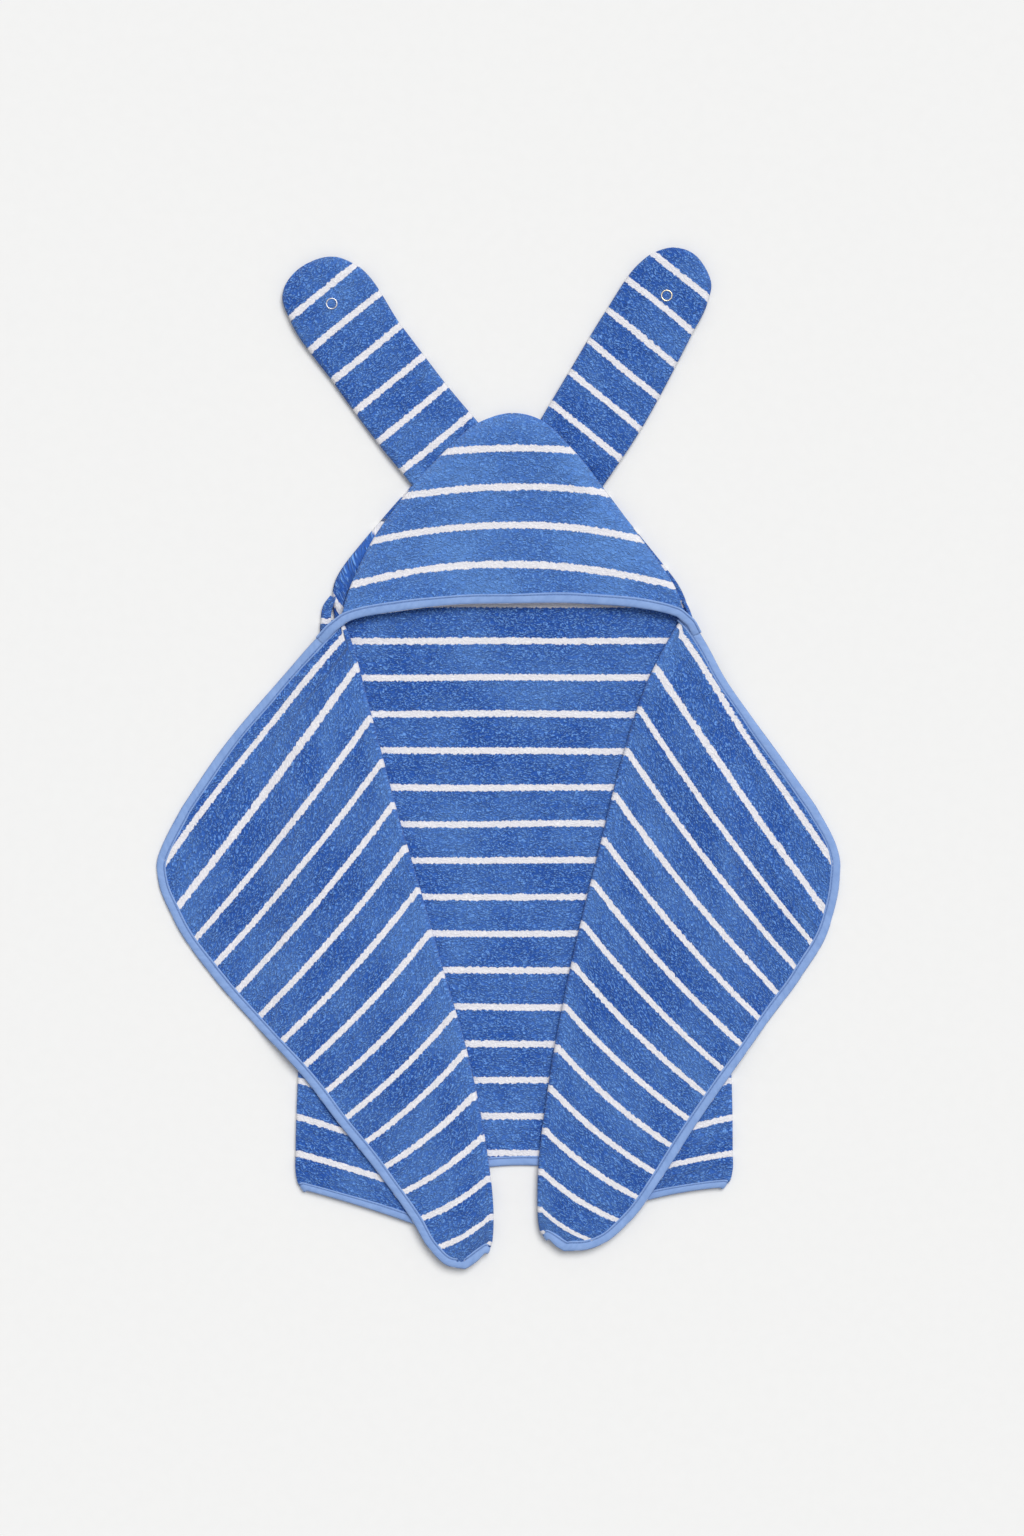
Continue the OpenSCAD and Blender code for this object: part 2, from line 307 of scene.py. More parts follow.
# place of the stitches: in from the tape's outer edge, and up from its middle
STITCH_IN = 7.3 * MM
STITCH_UP = 1.72 * MM


def stitches(name, path, inward, normal, steps, across, bodies):
    """Thread dashes in the groove beside the binding's ridge, on the top and bottom faces."""
    centres = np.arange(STITCH_GAP, steps[-1] - STITCH_GAP, STITCH_GAP)
    angles = np.linspace(0, 2 * np.pi, 6, endpoint=False)
    bead = [(-0.5, 0.35), (-0.3, 1.0), (0.3, 1.0), (0.5, 0.35)]
    points, faces, places = [], [], []

    def at(values, s):
        return np.stack([np.interp(s, steps, values[:, k]) for k in range(values.shape[1])], axis=-1)

    for side in (1, -1):
        for s in centres:
            first = len(points)
            for end, girth in bead:
                here = s + end * STITCH_LENGTH
                base = at(path, here)
                into = unit(at(inward, here))
                up = unit(at(normal, here))
                centre = base + into * STITCH_IN + up * side * STITCH_UP
                for a in angles:
                    offset = into * np.cos(a) + up * np.sin(a)
                    points.append(centre + STITCH_R * girth * offset)
                    if across is not None:
                        places.append(np.interp(here, steps, across))
            ring = len(angles)
            for r in range(len(bead) - 1):
                for k in range(ring):
                    a = first + r * ring + k
                    b = first + r * ring + (k + 1) % ring
                    faces.append([a, b, b + ring, a + ring])
            faces.append([first + k for k in range(ring)][::-1])
            last = first + (len(bead) - 1) * ring
            faces.append([last + k for k in range(ring)])
    points = np.array(points)
    obj = new_mesh(name, points, faces, points.copy(), [THREAD])
    if bodies:
        laid_flat = np.zeros_like(points)
        laid_flat[:, 0] = places
        blend_laid_flat(obj, laid_flat, points)
    return obj


# ---------------------------------------------------------------- materials


class Nodes:
    """Short helpers to write a node tree."""

    def __init__(self, name):
        self.material = bpy.data.materials.new(name)
        self.material.use_nodes = True
        self.tree = self.material.node_tree
        self.tree.nodes.clear()

    def add(self, kind, inputs=None, **settings):
        node = self.tree.nodes.new(kind)
        for key, value in settings.items():
            setattr(node, key, value)
        for key, value in (inputs or {}).items():
            if isinstance(value, bpy.types.NodeSocket):
                self.tree.links.new(value, node.inputs[key])
            else:
                node.inputs[key].default_value = value
        return node

    def math(self, operation, a, b=0.0, clamp=False):
        return self.add("ShaderNodeMath", {0: a, 1: b}, operation=operation, use_clamp=clamp).outputs[0]

    def mix(self, factor, a, b):
        node = self.add("ShaderNodeMix", {"Factor": factor}, data_type="RGBA")
        for socket, value in ((node.inputs[6], a), (node.inputs[7], b)):
            if isinstance(value, bpy.types.NodeSocket):
                self.tree.links.new(value, socket)
            else:
                socket.default_value = value
        return node.outputs[2]

    def noise(self, vector, scale, detail=2.0, roughness=0.5):
        values = {"Vector": vector, "Scale": scale, "Detail": detail, "Roughness": roughness}
        return self.add("ShaderNodeTexNoise", values).outputs[0]

    def stretch(self, vector, factors):
        return self.add("ShaderNodeVectorMath", {0: vector, 1: factors}, operation="MULTIPLY").outputs[0]

    def ramp(self, value, low, high):
        """0 at low, 1 at high."""
        values = {"Value": value, "From Min": low, "From Max": high}
        return self.add("ShaderNodeMapRange", values).outputs[0]

    def finish(self, color, roughness, height, distance, **shader):
        bump = self.add("ShaderNodeBump", {"Height": height, "Distance": distance, "Strength": 1.0})
        values = {"Base Color": color, "Roughness": roughness, "Normal": bump.outputs[0]}
        values.update({key.replace("_", " "): value for key, value in shader.items()})
        surface = self.add("ShaderNodeBsdfPrincipled", values)
        self.add("ShaderNodeOutputMaterial", {"Surface": surface.outputs[0]})
        return self.material


# Pile blues: the pale one is painted highlight as well as the tone of lighter patches, the deep one is
# painted shade. The white's shade between loops is painted too.
BLUE_PALE_AND_PAINTED_LIGHT = (0.166, 0.374, 0.855, 1)
BLUE_PAINTED_SHADE = (0.023, 0.102, 0.448, 1)
WHITE = (0.88, 0.87, 0.895, 1)
WHITE_SHADE = (0.76, 0.755, 0.81, 1)
BINDING_BLUE = (0.270, 0.415, 0.745, 1)
BINDING_SHADE = (0.195, 0.325, 0.640, 1)
# painted shade for the tape's seam groove
GROOVE_PAINTED_SHADE = (0.085, 0.165, 0.42, 1)
# the part of the third cloth coordinate that paints neither light nor shade on the pile
NO_PAINTED_LIGHT = 0.5
# loops of pile in a metre along the stripes and across them, and their height
LOOPS = (480.0, 760.0, 1.0)
LOOP_H = 1.4 * MM
# how far loops stray from their rows, and how far they stand out of a stripe's edge
LOOP_DRIFT = 6 * MM
RAGGED = 4.2 * MM
# threads of the tape's weave, in radians per metre
WEAVE = 9000.0


def terry_material(name):
    """Looped pile: rows of small loops, patches where the pile leans, and woven-in stripes.

    The whole part of the third cloth coordinate tells layers apart. The rest of it, less
    its even level, is painted light on the pile where it is higher and painted shade where it is lower."""
    n = Nodes(name)
    cloth = n.add("ShaderNodeAttribute", attribute_name="cloth").outputs["Vector"]
    apart = n.add("ShaderNodeSeparateXYZ", {0: cloth}).outputs
    layer = n.math("FLOOR", apart[2])
    cloth = n.add("ShaderNodeCombineXYZ", {0: apart[0], 1: apart[1], 2: layer}).outputs[0]
    # Loops lie in short wandering rows along the stripes.
    drift = n.add("ShaderNodeTexNoise", {"Vector": cloth, "Scale": 150.0, "Detail": 2.0}).outputs[1]
    off = n.add("ShaderNodeVectorMath", {0: drift, 1: (0.5, 0.5, 0.5)}, operation="SUBTRACT").outputs[0]
    off = n.stretch(off, (LOOP_DRIFT, LOOP_DRIFT, 0.0))
    spot = n.add("ShaderNodeVectorMath", {0: cloth, 1: off}, operation="ADD").outputs[0]
    loops = n.add(
        "ShaderNodeTexVoronoi",
        {"Vector": n.stretch(spot, LOOPS), "Scale": 1.0, "Smoothness": 0.3},
        feature="SMOOTH_F1",
    ).outputs["Distance"]
    loop_height = n.math("SUBTRACT", 1.0, n.math("MULTIPLY", loops, 1.3))
    rows = n.noise(n.stretch(spot, (0.55, 1.5, 1.0)), 620.0, 2.0, 0.6)
    lean = n.noise(cloth, 15.0, 3.0, 0.6)
    height = n.math("ADD", loop_height, n.math("MULTIPLY", rows, 1.9))
    # Stripes lie at whole multiples of the pitch, with an edge ragged by the loops.
    rag = n.noise(n.stretch(cloth, (1.0, 0.4, 1.0)), 330.0, 2.0, 0.6)
    ragged = n.math("ADD", apart[1], n.math("MULTIPLY", n.math("SUBTRACT", rag, 0.5), RAGGED))
    turn = n.math("DIVIDE", ragged, STRIPE_PITCH)
    away = n.math("ABSOLUTE", n.math("SUBTRACT", n.math("FRACT", n.math("ADD", turn, 0.5)), 0.5))
    edge = 0.5 * STRIPE_W / STRIPE_PITCH
    stripe = n.ramp(away, edge + 0.010, edge - 0.010)
    # Colour: painted shade between loops and painted highlight on their tops, patches of leaning pile, and
    # painted light and shade carried in the third cloth coordinate.
    painted_loop_light = n.ramp(height, 1.28, 1.72)
    blue = n.mix(painted_loop_light, BLUE_PAINTED_SHADE, BLUE_PALE_AND_PAINTED_LIGHT)
    patch = n.ramp(lean, 0.40, 0.68)
    # The third coordinate's painted light mixes in the pale blue, and its painted shade mixes in the deep
    # blue.
    painted_light = n.math("SUBTRACT", n.math("FRACT", apart[2]), NO_PAINTED_LIGHT)
    patch_and_painted_light = n.math("ADD", n.math("MULTIPLY", patch, 0.36), painted_light, clamp=True)
    blue = n.mix(patch_and_painted_light, blue, BLUE_PALE_AND_PAINTED_LIGHT)
    blue = n.mix(n.math("MULTIPLY", painted_light, -1.0, clamp=True), blue, BLUE_PAINTED_SHADE)
    white = n.mix(painted_loop_light, WHITE_SHADE, WHITE)
    color = n.mix(stripe, blue, white)
    # The white loops are tight and stand level, so they shade little.
    relief = n.math("MULTIPLY", height, n.math("SUBTRACT", 1.0, n.math("MULTIPLY", stripe, 0.72)))
    relief = n.math("ADD", relief, stripe)
    return n.finish(
        color, 0.95, relief, LOOP_H,
        Sheen_Weight=0.22, Sheen_Roughness=0.45, Sheen_Tint=(0.75, 0.84, 1.0, 1), Specular_IOR_Level=0.15,
    )


def binding_material():
    """Plain woven bias tape, slightly shiny, with the weave running on the slant."""
    n = Nodes("binding_cotton")
    cloth = n.add("ShaderNodeAttribute", attribute_name="cloth").outputs["Vector"]
    slanted = n.add("ShaderNodeMapping", {"Vector": cloth, "Rotation": (0, 0, 0.785)}).outputs[0]
    apart = n.add("ShaderNodeSeparateXYZ", {0: slanted}).outputs
    warp = n.math("SINE", n.math("MULTIPLY", apart[0], WEAVE))
    weft = n.math("SINE", n.math("MULTIPLY", apart[1], WEAVE))
    weave = n.math("MULTIPLY", warp, weft)
    drag = n.noise(n.stretch(slanted, (1.0, 0.25, 1.0)), 240.0, 3.0, 0.55)
    soft = n.noise(cloth, 60.0, 3.0, 0.5)
    tone = n.math("ADD", n.math("MULTIPLY", drag, 0.7), n.math("MULTIPLY", soft, 0.5))
    color = n.mix(n.ramp(tone, 0.35, 0.8), BINDING_SHADE, BINDING_BLUE)
    # Painted shade in the seam's groove, which runs at the same distance from the turned edge on both
    # faces.
    apart_flat = n.add("ShaderNodeSeparateXYZ", {0: cloth}).outputs
    from_edge = n.math("ABSOLUTE", n.math("SUBTRACT", apart_flat[1], BINDING_W))
    off_groove = n.math("ABSOLUTE", n.math("SUBTRACT", from_edge, BINDING_W - STITCH_IN))
    groove = n.ramp(off_groove, 0.9 * MM, 0.3 * MM)
    color = n.mix(n.math("MULTIPLY", groove, 0.75), color, GROOVE_PAINTED_SHADE)
    height = n.math("ADD", n.math("MULTIPLY", weave, 0.15), n.math("MULTIPLY", drag, 1.2))
    return n.finish(
        color, 0.7, height, 0.35 * MM,
        Sheen_Weight=0.15, Sheen_Roughness=0.4, Specular_IOR_Level=0.3,
    )


def thread_material():
    """Twisted sewing thread."""
    n = Nodes("sewing_thread")
    cloth = n.add("ShaderNodeAttribute", attribute_name="cloth").outputs["Vector"]
    twist = n.add("ShaderNodeTexWave", {"Vector": cloth, "Scale": 1400.0, "Distortion": 1.0}).outputs[1]
    color = n.mix(twist, (0.15, 0.27, 0.58, 1), (0.25, 0.40, 0.74, 1))
    return n.finish(color, 0.6, twist, 0.0001, Sheen_Weight=0.1, Specular_IOR_Level=0.4)


def metal_material(name, color, worn, roughness):
    """Plated brass with fine rubbing marks and a duller tone where it has worn."""
    n = Nodes(name)
    place = n.add("ShaderNodeTexCoord").outputs["Object"]
    rub = n.noise(n.stretch(place, (1.0, 6.0, 1.0)), 900.0, 4.0, 0.6)
    wear = n.noise(place, 420.0, 3.0, 0.6)
    tone = n.mix(n.ramp(wear, 0.45, 0.7), color, worn)
    rough = n.math("ADD", n.math("MULTIPLY", rub, 0.22), roughness)
    return n.finish(tone, rough, rub, 0.00003, Metallic=1.0)


TERRY = terry_material("terry_pile")
BINDING = binding_material()
THREAD = thread_material()
PEWTER = metal_material("pewter_plating", (0.70, 0.70, 0.72, 1), (0.48, 0.48, 0.50, 1), 0.26)
GOLD = metal_material("pale_gold_plating", (0.86, 0.78, 0.60, 1), (0.62, 0.53, 0.38, 1), 0.24)

# ---------------------------------------------------------------- the folded sides


def smooth_rows(first, last, step=STEP):
    """Stripe numbers of the grid's rows, evenly from the first to the last."""
    return np.linspace(first, last, int(round((last - first) * STRIPE_PITCH / step)) + 1)


def outward_of(fold, n, side):
    """Plan direction square to a fold, away from the towel's middle for side 1 or -1."""
    ahead = unit(fold(n + 0.02) - fold(n - 0.02))
    out = np.stack([-ahead[:, 1], ahead[:, 0]], axis=-1)
    return out * np.where(out[:, :1] * side < 0, -1, 1)


def turn_round(centre, out, low, high, count=9):
    """Columns of a rolled fold, from the lower layer round to the upper one."""
    columns = []
    for angle in np.linspace(-np.pi / 2, np.pi / 2, count):
        radius = (high - low) / 2
        p = centre + out * (radius[:, None] * np.cos(angle))
        columns.append(flat(p, (low + high) / 2 + radius * np.sin(angle)))
    return columns


def between(a, b, gap=STEP):
    """Columns of a strip from plan curve a to plan curve b, without the two end columns."""
    widest = np.max(np.linalg.norm(b - a, axis=-1))
    count = max(2, int(round(widest / gap)))
    return [a + (b - a) * t for t in np.linspace(0, 1, count + 1)[1:-1]]


class Side:
    """One side of the towel: the outer fold, the side panel, the inner fold and the wing.

    sag is how far the wing's rows hang below a straight line, hem_bow how far the side panel's
    last rows rise above one, and corner_pull how far the cloth is pulled at the hood's corner."""

    def __init__(self, name, sign, outer, inner, wing_end, wing_top, sag, hem_bow, corner_pull):
        self.name = name
        self.sign = sign
        self.outer = curve(outer)
        self.inner = curve(inner)
        self.end = curve(wing_end)
        self.top = curve(wing_top)
        self.sag = sag
        self.hem_bow = hem_bow
        self.corner_pull = corner_pull
        self.top_n = outer[0][0]
        self.side_body = name + "_side"
        self.wing_body = name + "_wing"

    def outer_centre(self, n):
        """Where the layers leave the roll of the outer fold."""
        out = outward_of(self.outer, n, self.sign)
        return self.outer(n) - out * 3.3 * MM, out

    def inner_centre(self, n):
        """Where the layers leave the roll of the inner fold."""
        out = outward_of(self.inner, n, -self.sign)
        return self.inner(n) - out * 3.6 * MM, out

    def tuck(self, n):
        """Plan curve under the side panel where the centre panel's own piece ends."""
        out = self.outer(n)
        reach = np.linalg.norm(self.inner(n) - out, axis=-1, keepdims=True)
        return out + [-self.sign, 0] * (0.42 * reach + 2 * MM)

    def side_row(self, share, n):
        """Plan points of the side panel at a share of the way from the outer fold to the inner one."""
        a, _ = self.outer_centre(n)
        b, _ = self.inner_centre(n)
        bow = self.hem_bow * 4 * share * (1 - share) * smooth((n - 13) / 3)
        return a + (b - a) * share + np.stack([np.zeros_like(bow), bow], axis=-1)

    def side_columns(self, first, last, n, gap=STEP):
        """Columns of the side panel from one share of its width to another."""
        widest = np.max(np.linalg.norm(self.side_row(last, n) - self.side_row(first, n), axis=-1))
        count = max(2, int(round(widest / gap)))
        return [flat(self.side_row(share, n), SIDE_Z) for share in np.linspace(first, last, count + 1)]

    def wing_point(self, t, n):
        """Plan point of the wing at share t from the inner fold to the bound edge."""
        start, _ = self.inner_centre(n)
        end = self.end(n)
        chord = end - start
        side = unit(np.stack([chord[:, 1], -chord[:, 0]], axis=-1)) * self.sign
        # Rows sag less beside the hood's corner, and where they are short at the tip.
        share = smooth((n - 0.5) / 3) * np.minimum(np.linalg.norm(chord, axis=-1) / (70 * MM), 1)
        bow = self.sag * 4 * t * (1 - t) * share[:, None]
        row = start + chord * t + side * bow
        # The first row follows the bound top edge, and the next few rows follow it less and less.
        top_share = smooth(1 - n / 2.2)[:, None]
        first_chord = start[0] * (1 - t) + end[0] * t
        return row + (self.top(np.array([t])) - first_chord) * top_share

    def wing_height(self, p, n):
        """The wing rolls high at its fold, lies on the side panel, then drapes to the floor."""
        from_fold = np.linalg.norm(p - self.inner_centre(n)[0], axis=-1)
        z = WING_Z + (ROLL_Z - WING_Z) * (1 - smooth(from_fold / (22 * MM)))
        y = p[:, 1]
        fold_n = np.clip((STRIPE_1_Y - y) / STRIPE_PITCH + 1, 0.4, HEM_N)
        beyond = (p[:, 0] - self.outer(fold_n)[:, 0]) * self.sign
        drape = smooth((beyond - 3 * MM) / (44 * MM)) * smooth((y + 0.47) / 0.06)
        low = PANEL_Z + 0.25 * MM
        wave = 0.7 * MM * (1 + billow(p[:, 0], p[:, 1], 0.10, self.sign))
        wave = wave + 0.35 * MM * (1 + billow(p[:, 0], p[:, 1], 0.037, self.sign + 2))
        return z * (1 - drape) + low * drape + wave * smooth(from_fold / (40 * MM))


LEFT = Side(
    "left", -1, LEFT_OUTER_FOLD, LEFT_INNER_FOLD, LEFT_WING_END, LEFT_WING_TOP,
    sag=4 * MM, hem_bow=3.5 * MM, corner_pull=16 * MM,
)
RIGHT = Side(
    "right", 1, RIGHT_OUTER_FOLD, RIGHT_INNER_FOLD, RIGHT_WING_END, RIGHT_WING_TOP,
    sag=5 * MM, hem_bow=8.5 * MM, corner_pull=-8 * MM,
)


def pressed(across_u, across_v, at_end_u=False, at_start_v=False, at_end_v=False):
    """Thickness of a layer that is pressed thin where a binding holds it."""
    thick = np.full(across_u.shape, CLOTH_T)
    swell = BINDING_W + 1 * MM - PRESSED_TO

    def thin(distance):
        return PRESSED_T + (CLOTH_T - PRESSED_T) * smooth((distance - PRESSED_TO) / swell)

    if at_end_u:
        thick = np.minimum(thick, thin(across_u[-1:] - across_u))
    if at_start_v:
        thick = np.minimum(thick, thin(across_v - across_v[:, :1]))
    if at_end_v:
        thick = np.minimum(thick, thin(across_v[:, -1:] - across_v))
    return thick


def cloth_coordinates(mid, n, u_start):
    """Place on the cloth: along the stripe, across it with stripes at whole pitches, and no painted light.
    """
    u = along_rows(mid) + u_start
    v = np.broadcast_to(-n * STRIPE_PITCH, u.shape)
    return np.stack([u, v, np.full_like(u, NO_PAINTED_LIGHT)], axis=-1)


def even_path(path, extra, gap=1.6 * MM):
    """The path, with its companion arrays, at an even spacing."""
    steps = np.concatenate([[0], np.cumsum(np.linalg.norm(np.diff(path, axis=0), axis=1))])
    at = np.linspace(0, steps[-1], max(3, int(round(steps[-1] / gap)) + 1))

    def sample(values):
        return np.stack([np.interp(at, steps, values[:, k]) for k in range(values.shape[1])], axis=-1)

    return sample(path), [sample(v) for v in extra]


def averaged(values, reach):
    """Values along a path, each averaged with its neighbours up to reach steps away."""
    padded = np.pad(values, ((reach, reach), (0, 0)), mode="edge")
    window = np.full(2 * reach + 1, 1 / (2 * reach + 1))
    return np.stack([np.convolve(column, window, mode="valid") for column in padded.T], axis=-1)


def hem_height(x):
    """How far up the centre panel's bottom edge lies at x."""
    place = np.linspace(CENTRE_HEM[0][1], CENTRE_HEM[-1][1], 200)
    points = curve(CENTRE_HEM)(place / 100)
    return np.interp(x, points[:, 0], points[:, 1])


def bowed_to_hem(p):
    """Rows of the bottom layer, with the last few bent to the centre panel's bottom edge."""
    row_y = p[..., 1]
    level = stripe_y(HEM_N)
    fade = 1 - smooth((row_y - level) / 0.11)
    bent = row_y + (hem_height(p[..., 0]) - level) * fade
    return np.stack([p[..., 0], bent], axis=-1)


def side_piece(side):
    """Strip of the centre panel under the fold, the outer fold, and most of the side panel."""
    n = smooth_rows(side.top_n, HEM_N)
    centre, out = side.outer_centre(n)
    start = side.tuck(n)
    low = np.full(len(n), PANEL_Z)
    high = np.full(len(n), SIDE_Z)
    columns = [flat(bowed_to_hem(p), PANEL_Z) for p in [start] + between(start, centre)]
    turn_from = len(columns)
    columns += turn_round(centre, out, low, high)
    turn_to = len(columns)
    columns += side.side_columns(0, SPLIT, n)[1:]
    mid = np.array(columns)
    u = along_rows(mid)
    fold_u = (u[turn_from] + u[turn_to - 1]) / 2
    cloth = cloth_coordinates(mid, n, np.abs(start[:, 0]))
    # The tucked cloth beside the hood's corner is pulled along the fold.
    cloth[..., 1] += side.corner_pull * (1 - smooth((n - 0.5) / 0.5))
    v = along_rows(mid.transpose(1, 0, 2)).T
    thick = pressed(u, v, at_end_v=True)
    obj = folded_sheet(
        side.name + "_side_cloth", mid, cloth, thick, TERRY,
        across=u - fold_u, bodies=("panel", side.side_body),
    )
    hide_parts(side.name + "_side_panel")
    hem_binding(mid, u - fold_u, side.name + "_side_hem_binding", ("panel", side.side_body))


def hem_binding(mid, across, name, bodies):
    """Binding along a folded piece's bottom row."""
    border = mid[:, -1]
    inner = mid[:, -5]
    tangent = unit(np.gradient(border, axis=0))
    inward = unit(inner - border)
    up = unit(np.cross(tangent, inward))
    path, (inward, up, place) = even_path(border, [inward, up, across[:, -1:]])
    obj, sewing = binding(name + "_tape", path, unit(inward), unit(up), place[:, 0], bodies)
    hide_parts(name)


def wing_piece(side):
    """The rest of the side panel, the inner fold and the wing."""
    n = smooth_rows(0.0, HEM_N)
    # The side panel and the fold end below the hood's corner, where the wing's top rows draw together.
    low_n = np.maximum(n, 0.45)
    centre, out = side.inner_centre(low_n)
    roll_high = np.full(len(n), ROLL_Z)
    columns = side.side_columns(SPLIT, 1, low_n)[:-1]
    turn_from = len(columns)
    columns += turn_round(centre, out, np.full(len(n), SIDE_Z), roll_high)
    turn_to = len(columns)
    widest = np.max(np.linalg.norm(side.end(n) - centre, axis=-1))
    for t in np.linspace(0, 1, int(round(widest / STEP)) + 1)[1:]:
        p = side.wing_point(t, n)
        columns.append(flat(p, side.wing_height(p, low_n)))
    mid = np.array(columns)
    u = along_rows(mid)
    fold_u = (u[turn_from] + u[turn_to - 1]) / 2
    v = along_rows(mid.transpose(1, 0, 2)).T
    thick = pressed(u, v, at_end_u=True, at_end_v=True)
    wing_only = np.arange(len(mid))[:, None] >= turn_to
    top_thick = pressed(u, v, at_start_v=True)
    thick = np.where(wing_only, np.minimum(thick, top_thick), thick)
    cloth = cloth_coordinates(mid, n, 0.3)
    # Rows are drawn together at the hood's corner, but each stripe keeps its width there.
    for stripe in (1, 2):
        row = int(np.argmin(np.abs(n - stripe)))
        near = (n < 1.5) if stripe == 1 else (n >= 1.5) & (n < 2.5)
        below = (n - n[row])[None, near]
        gap = distance_to(mid[turn_to:, row], mid[turn_to:, near])
        gap = np.minimum(gap, np.minimum(np.abs(below), 0.8) * STRIPE_PITCH)
        cloth[turn_to:, near, 1] = -n[row] * STRIPE_PITCH - np.sign(below) * gap
    # The last stripe lies clear of the hem's tape at the tip.
    cloth[..., 1] -= 0.25 * STRIPE_PITCH * smooth(n - 15) * smooth(u / (60 * MM))
    # Painted highlight along the roll just past the fold.
    cloth[..., 2] += 0.14 * np.exp(-(((u - fold_u - 9 * MM) / (11 * MM)) ** 2))
    obj = folded_sheet(
        side.name + "_wing_cloth", mid, cloth, thick, TERRY,
        across=u - fold_u, bodies=(side.side_body, side.wing_body),
    )
    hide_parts(side.name + "_wing_panel")
    wing_binding(side, mid, u - fold_u, turn_to)


# Below this the wings' edges belong to the tips rather than to the hood's corners.
HEM_ENDS_Y = -0.3


def wing_binding(side, mid, across, turn_to):
    """Binding from the hem's middle round the inner fold, up the side edge and the top edge."""
    normal = normals_of(mid)
    normal[turn_to:] = [0, 0, -side.sign]
    along_fold = np.broadcast_to(unit(mid[:, -5:-4] - mid[:, -1:]), mid.shape)
    path, up, place, along = (
        np.concatenate([grid[:, -1], grid[-1, ::-1][1:], grid[turn_to:, 0][::-1][1:]])
        for grid in (mid, normal, across[..., None], along_fold)
    )
    path, (up, place, along) = even_path(path, [up, place, along])
    tangent = unit(np.gradient(path, axis=0))
    inward = unit(np.cross(tangent, up))
    # Where the hem turns over the fold, the tape keeps to the fold's direction on both layers.
    at_fold = np.exp(-((place / (14 * MM)) ** 2)) * (path[:, 1:2] < HEM_ENDS_Y)
    inward = unit(inward * (1 - at_fold) + along * at_fold)
    # The tape tilts to lie along the cloth where that rises or falls inside the edge.
    reached = path + inward * BINDING_W
    gap = np.linalg.norm(reached[:, None] - mid.reshape(1, -1, 3), axis=-1)
    nearest = mid.reshape(-1, 3)[np.argmin(gap, axis=1)]
    above_tip = smooth((path[:, 1] + 0.45) / 0.04)
    inward[:, 2] += above_tip * (nearest[:, 2] - reached[:, 2]) / BINDING_W
    inward = unit(averaged(inward, 5))
    up = unit(np.cross(tangent, inward))
    obj, sewing = binding(
        side.name + "_wing_tape", path, inward, up,
        across=place[:, 0], bodies=(side.side_body, side.wing_body),
    )
    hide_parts(side.name + "_wing_binding")


# ---------------------------------------------------------------- centre panel, hood and ears

# distance between the stripes on the hood's front, and its height
HOOD_PITCH = 35.6 * MM
HOOD_Z = 13.0 * MM
# The back shows a little past the front along the left side of the seam.
HOOD_FRONT_SEAM = [(-1, -147, 131), (-0.84, -137, 161), (-0.67, -117, 201), (-0.45, -80, 250)]
HOOD_FRONT_SEAM += HOOD_SEAM[4:]
# Ends of the hood's edge tape, which run on over the wings' tapes, as (x, y, z) in mm.
HOOD_EDGE_TAIL_LEFT = np.array([(-161, 105, 9.6), (-156, 110.3, 11.6), (-151.5, 115.2, 12.8)])
HOOD_EDGE_TAIL_RIGHT = np.array([(173, 121.5, 12.8), (175.3, 117, 11.9), (177.6, 112.4, 9.8)])
# half the thickness of an ear that has been turned out
EAR_HALF = 3.05 * MM


def distance_to(path, points):
    """Plan distance from each point to the nearest point of a path."""
    rows = points.reshape(-1, points.shape[-1])[:, :2]
    best = [np.min(np.linalg.norm(path[None, :, :2] - part[:, None], axis=-1), axis=1)
            for part in np.array_split(rows, 40)]
    return np.concatenate(best).reshape(points.shape[:-1])


def spread(first, second, count):
    """Grid of plan points from one side curve to the other."""
    t = np.linspace(0, 1, count)[:, None, None]
    return first[None] * (1 - t) + second[None] * t


def centre_piece():
    """Centre panel and the hood's back, which are one cloth with a fold line at the neck."""
    n = np.linspace(HEM_N, 0.45, 190)
    body_left = LEFT.tuck(n)
    body_right = RIGHT.tuck(n)
    hood_left, hood_right = halves(HOOD_SEAM, 96)
    left = np.concatenate([body_left, hood_left[1:]])
    right = np.concatenate([body_right, hood_right[1:]])
    p = spread(left, right, 112)
    p = bowed_to_hem(p)
    x, y = p[..., 0], p[..., 1]
    hem = hem_height(x)
    z = PANEL_Z + 0.35 * MM * (1 + billow(x, y, 0.11))
    # The hood's back is rolled up a little outside the seam, low on the left side.
    outside = distance_to(hood_left, p)
    rolled = smooth((y - NECK_Y) / 0.015) * (1 - smooth((y - 0.19) / 0.03)) * (x < 0)
    z = z + 5.0 * MM * np.exp(-(((outside - 6 * MM) / (5 * MM)) ** 2)) * rolled
    mid = flat(p, z)
    from_hem = y - hem
    thick = PRESSED_T + (CLOTH_T - PRESSED_T) * smooth((from_hem - PRESSED_TO) / (6 * MM))
    v = y - STRIPE_1_Y + 0.7 * MM * billow(x, y, 0.16, 2.0)
    # One slanted stripe shows on the rolled strip, by the hood's corner.
    slanted = 0.86 * (x + 0.148) + 0.51 * (y - 0.141)
    near = np.clip(slanted, -14 * MM, 14 * MM)
    v = np.where((rolled > 0) & (outside < 14 * MM), near + 0.35 * (slanted - near), v)
    cloth = np.stack([x, v, np.full_like(x, 3 + NO_PAINTED_LIGHT)], axis=-1)
    obj = folded_sheet("centre_cloth", mid, cloth, thick, TERRY)
    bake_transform(obj)
    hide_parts("centre_panel", "hood_back")
    centre_hem(mid[:, 0])


def centre_hem(border):
    """Binding along the centre panel's bottom edge."""
    path = even_path(border[::-1], [])[0]
    tangent = unit(np.gradient(path, axis=0))
    up = np.tile([0.0, 0.0, 1.0], (len(path), 1))
    inward = unit(np.cross(tangent, up))
    obj, sewing = binding("centre_hem_tape", path, inward, up)
    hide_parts("centre_hem_binding")
    for piece in (obj, sewing):
        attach(piece, "panel")


